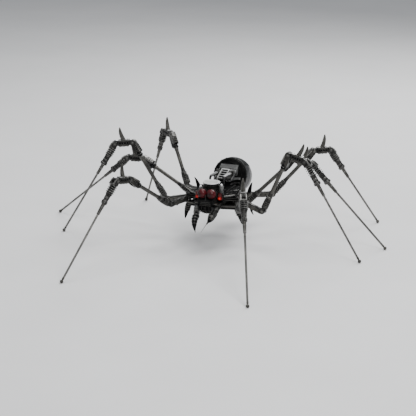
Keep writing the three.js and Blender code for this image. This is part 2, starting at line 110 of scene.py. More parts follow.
def ramp(nodes, links, source, stops):
    """Colour ramp from (position, colour) stops; a plain number gives grey."""
    node = nodes.new("ShaderNodeValToRGB")
    elements = node.color_ramp.elements
    while len(elements) < len(stops):
        elements.new(0.5)
    for element, (position, colour) in zip(elements, stops):
        element.position = position
        rgb = (colour,) * 3 if isinstance(colour, (int, float)) else colour
        element.color = (*rgb, 1)
    links.new(source, node.inputs["Fac"])
    return node.outputs["Color"]


def bump(nodes, links, shader, height, strength, distance):
    node = nodes.new("ShaderNodeBump")
    node.inputs["Strength"].default_value = strength
    node.inputs["Distance"].default_value = distance
    links.new(height, node.inputs["Height"])
    links.new(node.outputs["Normal"], shader.inputs["Normal"])


def metal(name, dark, mid, light, rough=(0.28, 0.48), metallic=0.8, grain=500, strength=0.2,
          stretch=(1, 1, 1), shine=0.5):
    """Worked metal: patches of tone, and a fine grain that drives both the bump and the roughness."""
    material, nodes, links, shader = node_material(name)
    where = nodes.new("ShaderNodeTexCoord").outputs["Object"]
    patches = noise(nodes, links, where, PATCH_SCALE, 5)
    fine = noise(nodes, links, where, grain, 3, stretch)
    tone = ramp(nodes, links, patches, list(zip(TONE_STOPS, (dark, mid, light))))
    links.new(tone, shader.inputs["Base Color"])
    links.new(ramp(nodes, links, fine, list(zip(GRAIN_STOPS, rough))), shader.inputs["Roughness"])
    shader.inputs["Metallic"].default_value = metallic
    shader.inputs["Specular IOR Level"].default_value = shine
    bump(nodes, links, shader, fine, strength, GRAIN_DEPTH)
    return material


def lens_material(name, inner, outer, centre, reach, coat, glow=0.0):
    """Tinted glass with one colour near the centre and another about the reach away, both in metres."""
    material, nodes, links, shader = node_material(name)
    where = nodes.new("ShaderNodeTexCoord").outputs["Object"]
    offset = nodes.new("ShaderNodeVectorMath")
    offset.operation = "DISTANCE"
    offset.inputs[1].default_value = centre
    links.new(where, offset.inputs[0])
    scaled = nodes.new("ShaderNodeMath")
    scaled.operation = "DIVIDE"
    scaled.inputs[1].default_value = reach
    links.new(offset.outputs["Value"], scaled.inputs[0])
    patches = noise(nodes, links, where, 220, 3)
    mixed = nodes.new("ShaderNodeMath")
    mixed.operation = "MULTIPLY_ADD"
    mixed.inputs[1].default_value = 0.35
    links.new(patches, mixed.inputs[0])
    links.new(scaled.outputs["Value"], mixed.inputs[2])
    colour = ramp(nodes, links, mixed.outputs["Value"], [(0.45, inner), (1.0, outer)])
    links.new(colour, shader.inputs["Base Color"])
    if glow:
        links.new(colour, shader.inputs["Emission Color"])
        shader.inputs["Emission Strength"].default_value = glow
    shader.inputs["Roughness"].default_value = 0.34
    shader.inputs["Specular IOR Level"].default_value = 0.16
    shader.inputs["Coat Weight"].default_value = coat
    shader.inputs["Coat Roughness"].default_value = 0.12
    bump(nodes, links, shader, patches, 0.05, 0.0005)
    return material


GUNMETAL = metal("gunmetal", (0.011, 0.011, 0.0105), (0.025, 0.0244, 0.023), (0.048, 0.0455, 0.041),
                 rough=(0.3, 0.5), grain=900, strength=0.25)
# pale metal of bolt heads, pads and top strips: painted glints where edges catch the light
GLINT_METAL = metal("painted_glint", (0.07, 0.067, 0.062), (0.17, 0.165, 0.155), (0.36, 0.345, 0.32),
                  rough=(0.25, 0.42), metallic=0.9, grain=900, strength=0.25)
BLACK = metal("black_metal", (0.001, 0.001, 0.0011), (0.0025, 0.0025, 0.0027), 0.007,
              rough=(0.34, 0.55), metallic=0.1, grain=900, strength=0.25, shine=0.08)
# flat near-black finish of the cover and the abdomen's front disc, and painted shade on the floor under the
# deck's ladder
FLAT_BLACK_AND_SHADE = metal("flat_black_and_painted_shade", (0.0012, 0.0012, 0.0013), (0.004, 0.004, 0.0042), (0.012, 0.0118, 0.0115),
             rough=(0.7, 0.95), metallic=0.0, grain=420, strength=0.6, shine=0.03)
STEEL = metal("drawn_steel", 0.05, (0.11, 0.108, 0.10), (0.2, 0.19, 0.17), rough=(0.25, 0.45), metallic=0.95)
GREY = metal("brushed_grey", 0.08, (0.14, 0.14, 0.138), (0.22, 0.22, 0.215),
             rough=(0.32, 0.52), metallic=0.4, grain=700, strength=0.3, stretch=(0.2, 1, 1))
CHROME = metal("bright_plate", 0.68, 0.76, (0.84, 0.84, 0.83), rough=(0.3, 0.42), metallic=0.7, strength=0.03)
DARK_STEEL = metal("dark_steel", (0.08, 0.078, 0.073), (0.125, 0.122, 0.114), (0.19, 0.184, 0.172),
                   rough=(0.28, 0.46), metallic=0.75, grain=600)
# lighter metal on bevelled edges, top plates and the cover's braces: painted highlights where edges and tops
# catch the light
HIGHLIGHT_METAL = metal("painted_highlight", (0.07, 0.07, 0.066), (0.14, 0.138, 0.132), (0.27, 0.265, 0.255))
FRAME = metal("pale_frame", (0.34, 0.34, 0.335), (0.5, 0.5, 0.49), (0.66, 0.66, 0.65),
              rough=(0.35, 0.5), metallic=0.5)
PANEL = metal("ribbed_panel", (0.10, 0.10, 0.098), (0.16, 0.16, 0.157), (0.24, 0.24, 0.235),
              rough=(0.4, 0.6), metallic=0.5, grain=600, strength=0.25)
ROD_METAL = metal("rod_metal", (0.042, 0.041, 0.037), (0.07, 0.0675, 0.061), (0.11, 0.105, 0.095),
                  rough=(0.3, 0.46), grain=700)
# lighter metal of the shin's ribs and hood: partly their own mid-grey, partly painted highlight on faces the
# top light reaches
RIB_METAL_AND_HIGHLIGHT = metal("rib_metal_and_painted_highlight", (0.08, 0.08, 0.076), (0.15, 0.148, 0.14), (0.28, 0.275, 0.265))
FINISH = [GUNMETAL, GLINT_METAL, BLACK, STEEL, GREY, CHROME, HIGHLIGHT_METAL, PANEL, FRAME, ROD_METAL, FLAT_BLACK_AND_SHADE, RIB_METAL_AND_HIGHLIGHT]
GUN, EDGE, DARK, BARE, PALE, BRIGHT, HIGHLIT, RIBBED, LIGHT, ROD, MATT, RIB = range(len(FINISH))


# ---------- Drawing closed solids ----------

def along(direction, at=(0, 0, 0)):
    """Frame whose X axis points along a direction."""
    return Matrix.Translation(at) @ Vector(direction).to_track_quat("X", "Z").to_matrix().to_4x4()


def upright(x, y, z):
    """Frame at a place whose X axis points up."""
    return along(UP, (x, y, z))


SIDE = Matrix(((1, 0, 0, 0), (0, 0, -1, 0), (0, 1, 0, 0), (0, 0, 0, 1)))    # plate in XZ, thick along -Y
PROFILE = Matrix(((0, 0, 1, 0), (1, 0, 0, 0), (0, 1, 0, 0), (0, 0, 0, 1)))  # plate in YZ, thick along +X
HOLE_SIDES = 14
WASHER = {"height": 0.4, "spread": 1.35}    # spread is its radius over the bolt head's
EDGE_ANGLE = 32                             # edges sharper than this get a bevel, by default in a lighter metal that paints a highlight along them


def add_object(name, data):
    thing = bpy.data.objects.new(name, data)
    bpy.context.scene.collection.objects.link(thing)
    return thing


class Shape:
    """Closed solids in millimetres, gathered in one mesh with a finish number on each face."""

    def __init__(self):
        self.mesh = bmesh.new()

    def skin(self, rings, finish, place=Matrix(), closed=False):
        """Faces between loops of points: a closed row of loops joins up, an open one gets end caps."""
        loops = [[self.mesh.verts.new(place @ Vector(point)) for point in ring] for ring in rings]
        faces = []
        if not closed:
            faces = [self.mesh.faces.new(list(reversed(loops[0]))), self.mesh.faces.new(loops[-1])]
        for near, far in zip(loops, loops[1:] + loops[:1] if closed else loops[1:]):
            for i in range(len(near)):
                faces.append(self.mesh.faces.new((near[i - 1], near[i], far[i], far[i - 1])))
        for face in faces:
            face.material_index = finish

    def turned(self, stations, finish=GUN, place=Matrix(), sides=SIDES, bow=(0, 0), flat=1.0):
        """A body turned about X from (x, radius) stations; bow bends it and flat squeezes it along Y."""
        length = stations[-1][0]
        rings = []
        for x, radius in stations:
            t = x / length
            arch = 4 * t * (1 - t)
            ring = []
            for i in range(sides):
                angle = 2 * pi * i / sides
                y = radius * cos(angle) * flat + bow[0] * arch
                ring.append((x, y, radius * sin(angle) + bow[1] * arch))
            rings.append(ring)
        self.skin(rings, finish, place)

    def hoop(self, profile, finish=GUN, place=Matrix(), sides=SIDES, start=0.0, sweep=360.0):
        """A ring about X from a closed profile of (x, radius) corners; a sweep under 360 gives an arc."""
        steps = sides if sweep >= 360 else sides + 1
        rings = []
        for i in range(steps):
            angle = radians(start + sweep * i / sides)
            rings.append([(x, radius * cos(angle), radius * sin(angle)) for x, radius in profile])
        self.skin(rings, finish, place, closed=sweep >= 360)

    def plate(self, outline, thickness, finish=GUN, place=Matrix(), holes=()):
        """A flat plate in XY, thick along Z, with round holes as (x, y, radius)."""
        loops = [outline]
        for x, y, radius in holes:
            loops.append([(x + radius * cos(a), y + radius * sin(a))
                          for a in (2 * pi * i / HOLE_SIDES for i in range(HOLE_SIDES))])
        edges = []
        for loop in loops:
            verts = [self.mesh.verts.new((x, y, 0)) for x, y in loop]
            edges += [self.mesh.edges.new((verts[i - 1], verts[i])) for i in range(len(verts))]
        filled = bmesh.ops.triangle_fill(self.mesh, edges=edges, use_beauty=True)
        base = [item for item in filled["geom"] if isinstance(item, bmesh.types.BMFace)]
        lifted = bmesh.ops.extrude_face_region(self.mesh, geom=base, use_keep_orig=True)
        top = [item for item in lifted["geom"] if isinstance(item, bmesh.types.BMVert)]
        bmesh.ops.translate(self.mesh, verts=top, vec=(0, 0, thickness))
        verts = {vert for face in base for vert in face.verts} | set(top)
        faces = {face for vert in verts for face in vert.link_faces}
        bmesh.ops.transform(self.mesh, matrix=place, verts=list(verts))
        for face in faces:
            face.material_index = finish

    def block(self, low, high, finish=GUN, place=Matrix()):
        (x0, y0, z0), (x1, y1, z1) = low, high
        self.skin([[(x, y0, z0), (x, y1, z0), (x, y1, z1), (x, y0, z1)] for x in (x0, x1)], finish, place)

    def bolt(self, at, direction, radius=1.7, height=1.2, finish=EDGE):
        """Washer and hexagon head."""
        place = along(direction, at)
        seat, rim = WASHER["height"], radius * WASHER["spread"]
        self.turned([(0, rim), (seat, rim)], finish, place, 16)
        self.turned([(seat, radius), (height, radius), (height + 0.3, radius * 0.8)], finish, place, 6)

    def build(self, name, place, body, replaces, bevel=0.42, finish=FINISH, edge=HIGHLIT):
        """One Blender object from the gathered solids; edge is the finish number of its bevels, by default
        the lighter metal of painted edge highlights.
        """
        bmesh.ops.recalc_face_normals(self.mesh, faces=self.mesh.faces)
        for face in self.mesh.faces:
            face.smooth = True
        self.mesh.transform(place)
        data = bpy.data.meshes.new(name)
        self.mesh.to_mesh(data)
        self.mesh.free()
        for material in finish:
            data.materials.append(material)
        piece = add_object(name, data)
        # bevel faces take the edge finish, by default painted edge highlights
        modifier = piece.modifiers.new("bevelled_edges", "BEVEL")
        modifier.width = bevel * MM
        modifier.segments = 2
        modifier.limit_method = "ANGLE"
        modifier.angle_limit = radians(EDGE_ANGLE)
        modifier.harden_normals = True
        modifier.material = edge
        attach(piece, body)
        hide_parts(*replaces)


def stadium(x0, x1, radius, z=0.0, steps=10):
    """Outline of a bar with round ends."""
    half_turn = [pi * (i / steps - 0.5) for i in range(steps + 1)]
    right = [(x1 + radius * cos(a), z + radius * sin(a)) for a in half_turn]
    left = [(x0 - radius * cos(a), z - radius * sin(a)) for a in half_turn]
    return right + left


def side_plate(shape, outline, y, thickness, finish=GUN, holes=()):
    """A plate in the XZ plane, centred on y."""
    shape.plate(outline, thickness, finish, Matrix.Translation((0, y + thickness / 2, 0)) @ SIDE, holes)


# ---------- Leg frames ----------

def basis(origin, x_axis, y_axis):
    x_axis = Vector(x_axis).normalized()
    y_axis = Vector(y_axis).normalized()
    z_axis = x_axis.cross(y_axis).normalized()
    rotation = Matrix((x_axis, y_axis, z_axis)).transposed().to_4x4()
    return Matrix.Translation(origin) @ rotation @ Matrix.Scale(MM, 4)


def pin_at(name):
    return Vector(JOINTS[name]["pos_m"]), -Vector(JOINTS[name]["axis"])


def far_point(node, origin):
    """Point of a CAD node that is farthest from a place."""
    return max((vertex.co.copy() for vertex in frame["nodes"][node].data.vertices),
               key=lambda point: (point - origin).length)


# ---------- Leg pieces ----------

def hinge_pin(shape, x=0.0, z=0.0):
    half = PIN["half_length"]
    shape.turned([(-half, PIN["radius"]), (half, PIN["radius"])], BARE, along((0, 1, 0), (x, 0, z)), 16)


def pin_head(shape, side, x=0.0, z=0.0):
    """Raised collar on a fork's cheek and the pin's own end in it."""
    out = along((0, side, 0), (x, side * (CHEEK["y"] + CHEEK["thick"] / 2), z))
    shape.hoop([(-0.3, 2.3), (-0.3, 3.7), (0.8, 3.5), (0.8, 2.4)], GUN, out, 20)
    shape.turned([(-0.3, 1.9), (0.5, 1.9), (0.8, 1.5)], BARE, out, 14)


def fork(shape, x, z, back, hub=5.4):
    """Two cheeks about a pin, from back to x."""
    for side in (-1, 1):
        side_plate(shape, stadium(back, x, hub, z), side * CHEEK["y"], CHEEK["thick"])
        pin_head(shape, side, x, z)
    hinge_pin(shape, x, z)


def eye(shape, back):
    """Tongue between two cheeks, with the pin's hole at its origin."""
    side_plate(shape, stadium(min(0, back), max(0, back), 5.0), 0, TONGUE, GUN, [(0, 0, PIN["hole"])])


def rib(shape, x, bore, radius, width, lip, finish):
    """Ring with its outer corners cut off by 0.3 mm along the axis and by the lip across it."""
    shape.hoop([(x, bore), (x, radius - lip), (x + 0.3, radius), (x + width - 0.3, radius),
                (x + width, radius - lip), (x + width, bore)], finish)


def coxa(leg):
    hip, _ = pin_at(f"{leg}_swing")
    shoulder, pin = pin_at(f"{leg}_lift")
    heading = pin.cross(UP)
    place = basis(hip, heading, pin)
    reach = (shoulder - hip).dot(heading) / MM
    drop = (shoulder - hip).z / MM
    end = reach - 6.8                 # where the arm meets the fork
    stub = min(8.0, end - 1)          # where it starts to slope
    slope = drop / (end - stub)
    shape = Shape()
    shape.turned([(0, 5.3), (0.6, 6), (3, 6), (3.4, 5.5), (6.6, 5.5), (7, 6), (9.4, 6), (10, 5.3)], GUN,
                 upright(0, 0, -5))
    outline = [(0, -5), (stub, -5), (end, drop - 5.4), (end, drop + 5.4), (stub, 5), (0, 5)]
    side_plate(shape, outline, 0, 6.6)
    if end - stub > 15:
        # a long arm has drilled side plates and pads on top
        low, high = stub + 1, end - 2
        outline = [(low, slope - 3.4), (high, drop - 3.6), (high, drop + 3.6), (low, slope + 3.4)]
        hole_places = [low + (high - low) * (i + 0.7) / 4.4 for i in range(4)]
        holes = [(x, slope * (x - stub), 1.5) for x in hole_places]
        for side in (-1, 1):
            side_plate(shape, outline, side * 3.9, 1.2, ROD, holes)
        for t, finish in ((0.2, GUN), (0.5, EDGE), (0.8, GUN)):
            x = stub + (end - stub) * t
            z = slope * (x - stub) + 5.2
            shape.block((x - 3.2, -2.6, z - 0.8), (x + 3.2, 2.6, z + 0.5), finish)
    fork(shape, reach, drop, max(reach - 4.0, 13))
    if int(leg[-1]) in SPIKES:
        at, length, radius = SPIKES[int(leg[-1])]
        way = copysign(1, length)
        if way > 0:
            x, y, z = HIGH_SPIKE
            lean = place.to_3x3().inverted() @ Vector((x * copysign(1, heading.x), y, z))
        else:
            low_lean = radians(LOW_SPIKE_LEAN)
            lean = Vector((sin(low_lean), 0, -cos(low_lean)))
        up = along(lean, (at, 0, slope * (at - stub) + way * 3))
        # shares of the length and of the radius
        blade = [(0, 1), (0.15, 1), (0.4, 0.86), (0.62, 0.62), (0.82, 0.4)]
        stations = [(abs(length) * t, radius * share) for t, share in blade] + [(abs(length), 0.5)]
        shape.turned(stations, DARK, up, 20, (0, way * 1.4))
        collar = [(1.4, radius - 0.6), (1.4, radius + 0.7), (3.2, radius + 0.5), (3.2, radius - 0.6)]
        shape.hoop(collar, GUN, up, 20)
    shape.build(f"{leg}_coxa_link", place, f"{leg}_hip", [f"{leg}_coxa"])


def femur(leg):
    shoulder, pin = pin_at(f"{leg}_lift")
    knee, _ = pin_at(f"{leg}_knee")
    place = basis(shoulder, knee - shoulder, pin)
    length = (knee - shoulder).length / MM
    shape = Shape()
    eye(shape, 9)
    top = length - 30.2               # where the shank meets the knee's collar
    shape.turned([(7.4, 5.4), (7.9, 6.7), (10.8, 6.7), (11.2, 6.3)])
    shape.turned([(10, 5.1), (26, 5.1)], DARK)
    for i in range(3):
        rib(shape, 12.6 + i * 4.2, 4.6, 6.9, 1.9, 0.3, ROD)
    shank = [(25.0, 6.3), (25.4, 6.7), (26.4, 6.7), (27.6, 6.0), (31.6, 5.6), (32.2, 6.0), (34, 6.0),
             (34.6, 4.9), (43, 3.75)]
    shape.turned(shank)
    shape.turned([(42.9, 3.75), (top - 6, 3.75), (top - 5.4, 4.4), (top - 3.4, 4.4), (top - 2.8, 3.75),
                  (top - 1, 3.75)], ROD)
    for side in (-1, 1):
        shape.turned([(0, 1.8), (1.5, 1.8)], DARK, along((0, side, 0), (29.2, side * 4.6, 0)), 14)
        shape.block((8, side * 5.2 - 0.8, 4.0), (26, side * 5.2 + 0.8, 5.4))
    head = [(top - 1, 4.4), (top - 0.4, 5.8), (top + 3.4, 5.8), (top + 3.8, 5.2), (length - 13.4, 5.2),
            (length - 12.6, 4.6)]
    shape.turned(head, DARK)
    # outlines drawn from the knee pin
    boot = [(5.2, -2.6), (5.2, 2.6), (2.6, 6.0), (-6, 7.2), (-23, 7.6), (-24.6, 6.2), (-24, 3.6),
            (-19.6, 2.0), (-21, -2.4), (-27, -4.0), (-28, -5.8), (-26.4, -7.2), (-14, -7.0), (-2, -5.3)]
    cap = [(-8.8, 6.4), (-7.6, 8.0), (1.4, 6.9), (5.2, 3.4), (3.9, 2.6), (1.4, 5.2)]
    boot, cap = ([(length + x, z) for x, z in outline] for outline in (boot, cap))
    for side in (-1, 1):
        side_plate(shape, boot, side * 4.6, 2.0, GUN, [(length - 9.5, 0.4, 1.7), (length - 15.2, 0.4, 1.7)])
        shape.block((length - 22, side * 5.5 - 0.5, 4.6), (length - 4, side * 5.5 + 0.5, 6.0), EDGE)
        pin_head(shape, side, length)
    for x in (length - 21.5, length - 17.2, length - 12.9):
        shape.block((x, -3.7, 5.0), (x + 2.6, 3.7, 7.7), ROD)
    shape.block((length - 25, -3.7, -6.9), (length - 15, 3.7, -5.2))
    side_plate(shape, cap, 0, 6.4, HIGHLIT)
    hinge_pin(shape, length)
    shape.build(f"{leg}_femur_link", place, f"{leg}_thigh", [f"{leg}_femur"])


def patella(leg):
    knee, pin = pin_at(f"{leg}_knee")
    ankle, _ = pin_at(f"{leg}_bend")
    place = basis(knee, ankle - knee, pin)
    length = (ankle - knee).length / MM
    near, far = 6.6, length - 6.6     # ends of the thick middle part
    middle = length / 2
    shape = Shape()
    ends = [(0, 0, PIN["hole"]), (length, 0, PIN["hole"])]
    side_plate(shape, stadium(0, length, 4.9), 0, TONGUE, GUN, ends)
    outline = [(near, -4.0), (near + 2, -6.3), (far - 2, -6.3), (far, -4.0), (far, 5.0), (far - 1.2, 6.3),
               (near + 1.2, 6.3), (near, 5.0)]
    holes = [(near + 3.6 + i * 5.2, 0.4, 2.1) for i in range(4)]
    for side in (-1, 1):
        side_plate(shape, outline, side * 4.3, 1.9, GUN, holes)
        for low, high in ((-5.2, -3.6), (4.2, 5.4)):
            shape.block((near + 1.5, side * 5.3 - 0.45, low), (far - 1.5, side * 5.3 + 0.45, high), ROD)
    side_plate(shape, outline, 0, 6.4, DARK)
    # pale blocks at both ends of the top: painted glints where the top edge catches the light
    for x in (near + 0.2, far - 6.8):
        shape.block((x, -4.7, 6.0), (x + 6.6, 4.7, 7.2), LIGHT)
        shape.bolt((x + 3.3, 0, 7.1), (0, 0, 1), 1.3, 0.7)
    for x in (near + 2.6, middle - 1.1, far - 4.8):
        shape.block((x, -4.4, -7.0), (x + 2.2, 4.4, -6.0))
    lean = radians(HORN_LEAN)
    up = along((sin(lean), 0, cos(lean)), (middle, 0, 5.2))
    horn = [(0, 4.9), (1.4, 4.9), (1.8, 4.4), (8, 4.2), (15, 3.6), (21, 2.7), (25.6, 1.7), (27.6, 0.8)]
    shape.turned(horn, ROD, up, 20, (0, -1.8))
    shape.build(f"{leg}_patella_link", place, f"{leg}_knee", [f"{leg}_patella"])


def tibia(leg):
    ankle, pin = pin_at(f"{leg}_bend")
    foot = far_point(f"{leg}_tarsus", ankle)
    place = basis(ankle, foot - ankle, pin)
    length = (foot - ankle).length / MM - FOOT
    shape = Shape()
    cheek = [(-4, -3.6), (-1.5, -5.2), (9, -6.0), (9, 6.4), (2, 6.6), (-3.4, 4.6), (-5.3, 0)]
    hood = [(-4.8, 3.4), (-3.6, 5.4), (1.8, 7.6), (11.2, 8.2), (11.2, 5.6), (2.2, 5.2), (-3.2, 3.4)]
    for side in (-1, 1):
        side_plate(shape, cheek, side * 4.3, 2.2)
        pin_head(shape, side)
    for side in (-1, 1):
        # hood, cross bar and ribs in the lighter rib metal, partly painted highlight
        side_plate(shape, hood, side * 5.2, 1.8, RIB)
    shape.block((9.4, -4.4, 4.8), (11.2, 4.4, 8.2), RIB)
    shape.block((6.0, -3.9, 3.6), (8.8, 3.9, 5.0), DARK)
    hinge_pin(shape)
    shape.turned([(7.6, 4.8), (28, 4.8)], DARK)
    shape.turned([(7.6, 5.6), (8.0, 6.8), (9.6, 7.0), (10.4, 6.4)])
    for i in range(4):
        rib(shape, 12.2 + i * 4.3, 4.4, 8.0, 1.3, 0.4, RIB)
    for side in (-1, 1):
        shape.block((8, side * 6.2 - 0.7, -0.9), (28, side * 6.2 + 0.7, 0.9))
    link = [(28.2, 5.8), (29.0, 6.6), (30.0, 6.4), (32, 5.3), (37, 5.1), (37.4, 5.5), (39.2, 5.5),
            (39.6, 4.9), (44.2, 4.8), (45, 5.8), (46.4, 6.0), (47, 5.4), (48.6, 5.4), (49.2, 6.0),
            (50.6, 5.2), (51, 3.8)]
    shape.turned(link)
    cone = [(50.9, 3.7), (58, 3.5), (58.4, 3.8), (59.6, 3.8), (60, 3.4), (71.6, 3.1), (72, 3.4),
            (ROD_START, 3.2)]
    shape.turned(cone, ROD)
    for side in (-1, 1):
        shape.block((44.6, -1.8, side * 5.6 - 1.2), (50.2, 1.8, side * 5.6 + 1.2))
        shape.block((31.0, -1.3, side * 4.9 - 0.8), (44.8, 1.3, side * 4.9 + 0.8))
        shape.turned([(0, 1.5), (1.2, 1.5)], DARK, along((0, side, 0), (34, side * 4.2, 0)), 12)
    shape.build(f"{leg}_tibia_link", place, f"{leg}_shin", [f"{leg}_tibia"])
    rod = Shape()
    steel, foot_metal = 0, 2
    rod.turned([(ROD_START, 2.1), (80, 2.1), (80.4, 2.4), (82, 2.4), (82.4, 2.1), (length - 8, 2.0)], steel,
               sides=20)
    ball = [(length - 8, 2.0), (length - 6.6, 2.3), (length - 5.4, 2.3), (length - FOOT, 1.6)]
    for i in range(1, 8):
        angle = pi * i / 8
        ball.append((length - FOOT * cos(angle), FOOT * sin(angle)))
    rod.turned(ball, foot_metal, sides=20)
    rod.build(f"{leg}_tarsus_rod", place, f"{leg}_shin", [f"{leg}_tarsus"], 0.2,
              [DARK_STEEL, GLINT_METAL, ROD_METAL])


# ---------- Chassis ----------

# the +X half of the plates' outline, from the front to the back
OUTLINE = [(0, -46), (26, -46), (50, -41.5), (57.5, -35.5), (54.4, -29), (47.6, -22.6), (47.6, -11),
           (42.6, 1), (41.5, 16.5), (49.4, 20.5), (49.4, 26), (43, 30.5), (27, 44), (0, 46)]


def mirrored(half, inset=0.0):
    """Closed outline from its +X half, drawn in by the inset."""
    inner = [(max(0, x - inset), y - copysign(inset, y)) for x, y in half]
    return inner + [(-x, y) for x, y in reversed(inner[1:-1])]


def local(point):
    """A place in the chassis frame, in millimetres."""
    return CHASSIS.inverted() @ Vector(point)


HIPS = [local(JOINTS[f"{leg}_swing"]["pos_m"]) for leg in LEGS]


def level(shape, outline, z0, z1, finish):
    shape.plate(outline, z1 - z0, finish, Matrix.Translation((0, 0, z0)))


def chassis_base():
    shape = Shape()
    for z0, z1, inset, finish in ((BELLY, 76.6, 0.8, ROD), (76.6, 79.4, 1.8, DARK), (79.4, 82.7, 0, ROD)):
        level(shape, mirrored(OUTLINE, inset), z0, z1, finish)
    shape.block((-27, -40, 82.6), (27, 40, 93.2))
    # ribs in lighter bare steel: painted light against the shade under the cover's overhang
    for y in range(-36, 40, 6):
        shape.block((-28.2, y, 83.4), (28.2, y + 2.6, 92.6), BARE)
    for hip in HIPS:
        shape.bolt((hip.x, hip.y, BELLY + 0.2), (0, 0, -1), 2.6, 1.6)
        shape.turned([(0, PIN["radius"]), (10.3, PIN["radius"])], BARE, upright(hip.x, hip.y, 82.6), 16)
    spike = [(0, 5.6), (3, 5.7), (12, 5.2), (20, 4.1), (27, 2.7), (32, 1.4), (34.6, 0.4)]
    for side in (-1, 1):
        # spacers between the two levels
        for x, y, radius in ((40.5, -27.5, 1.7), (40.6, -4.2, 2.0), (34.8, 18, 1.5)):
            shape.turned([(0, radius), (3, radius), (3.3, radius * 0.7), (7.6, radius * 0.7), (8, radius),
                          (10.9, radius)], BARE, upright(side * x, y, 82.6), 14)
        # hanging spike with three bands
        point = along((0.267 * side, 0.134, -0.954), (side * 50.8, -34.5, 76.5))
        shape.turned(spike, DARK, point, 24, (0, 1.0))
        for x, radius in ((3, 6.3), (7.5, 6.1), (12, 5.8)):
            band = [(x, radius - 1.4), (x, radius), (x + 1.6, radius), (x + 1.6, radius - 1.4)]
            shape.hoop(band, ROD, point, 20)
        for y in (-34, 34):
            shape.bolt((side * 20, y, BELLY + 0.1), (0, 0, -1), 1.8, 1.1)
    shape.build("chassis_base", CHASSIS, "thorax", ["thorax_frame"])


def chassis_cover():
    shape = Shape()
    for z0, z1, inset, finish in ((COVER, 95.0, 0, ROD), (95.0, 97.4, 1.6, MATT), (97.4, 99.0, 0.2, GUN),
                                  (99.0, DECK_TOP, 5, MATT)):
        level(shape, mirrored(OUTLINE, inset), z0, z1, finish)
    for hip in HIPS:
        up = upright(hip.x, hip.y, 98.8)
        shape.hoop([(0, 3.4), (0, 5.6), (1.6, 5.6), (2.2, 4.9), (2.2, 3.4)], GUN, up, 24)
        shape.turned([(0, 2.6), (1.4, 2.6), (1.8, 2.1)], DARK, up, 6)
    for side in (-1, 1):
        for i in range(5):
            y = -8 + i * 6.4
            shape.block((side * 31 - 4.5, y, 102.4), (side * 31 + 4.5, y + 2.6, 103.7), DARK)
        shape.block((side * 22.5 - 0.7, -18, 102.5), (side * 22.5 + 0.7, 38, 104.0))
        for y in (-38, 36):
            shape.bolt((side * 20, y, 102.6), (0, 0, 1), 1.6, 0.9, GUN)
        brace = along((25 * side, 11, 3), (24 * side, -47, 101))
        shape.turned([(0, 1.3), (3, 1.3), (3.3, 1.8), (22, 1.8), (22.3, 1.3), (26, 1.3)], HIGHLIT, brace, 14)
        for i in range(3):
            x = side * (30 + i * 6)
            fin = [(-40 + i * 2, 99), (-22 + i, 99), (-24 + i, 104.4 - i), (-37 + i * 2, 105.4 - i)]
            in_profile(shape, fin, x - 0.8, x + 0.8, ROD)
        disc = upright(side * 37, 4, 99)
        shape.hoop([(0, 3.0), (0, 4.6), (4.2, 4.6), (4.8, 4.0), (4.8, 3.0)], GUN, disc, 24)
        shape.turned([(0, 2.4), (4.4, 2.4)], DARK, disc, 18)
        wedge = [(side * 25, -15.5), (side * 41.5, 0), (side * 40.8, 6)]
        level(shape, wedge, 102.6, 104.0, HIGHLIT)
    shape.build("chassis_cover", CHASSIS, "thorax", ["thorax_top_cover"], bevel=0.3, edge=GUN)


# ---------- Head and turret ----------

EYE_AT = {side: Vector((EYE["x"] * side, EYE["y"], EYE["z"])) for side in (-1, 1)}


def gaze(side):
    """Direction an eye looks in."""
    return Vector((0.2 * side, -0.91, 0.36)).normalized()


def in_profile(shape, outline, x0, x1, finish=GUN):
    """A plate in the YZ plane from x0 to x1."""
    shape.plate(outline, x1 - x0, finish, Matrix.Translation((x0, 0, 0)) @ PROFILE)


def marker_post(shape, side):
    """Ringed post behind an eye with a bright ball on top."""
    rise, ball_radius = POST["rise"][side], 2.6
    post = [(0, 4.2), (1.6, 4.2), (2, 3.7), (3.4, 3.7), (3.8, 4.2), (rise - 9.8, 4.2), (rise - 9.4, 3.7),
            (rise - 7.4, 3.7), (rise - 7, 4.3), (rise - 1, 4.3), (rise, 3.4)]
    shape.turned(post, RIBBED, upright(side * POST["x"], POST["y"], DECK_TOP + 0.5), 26)
    ball = [(0, 1.3)] + [(ball_radius - ball_radius * cos(a) + 0.1, ball_radius * sin(a))
                         for a in (pi * i / 9 for i in range(2, 9))]
    shape.turned(ball, BRIGHT, upright(side * POST["x"], POST["y"], DECK_TOP + rise), 20)


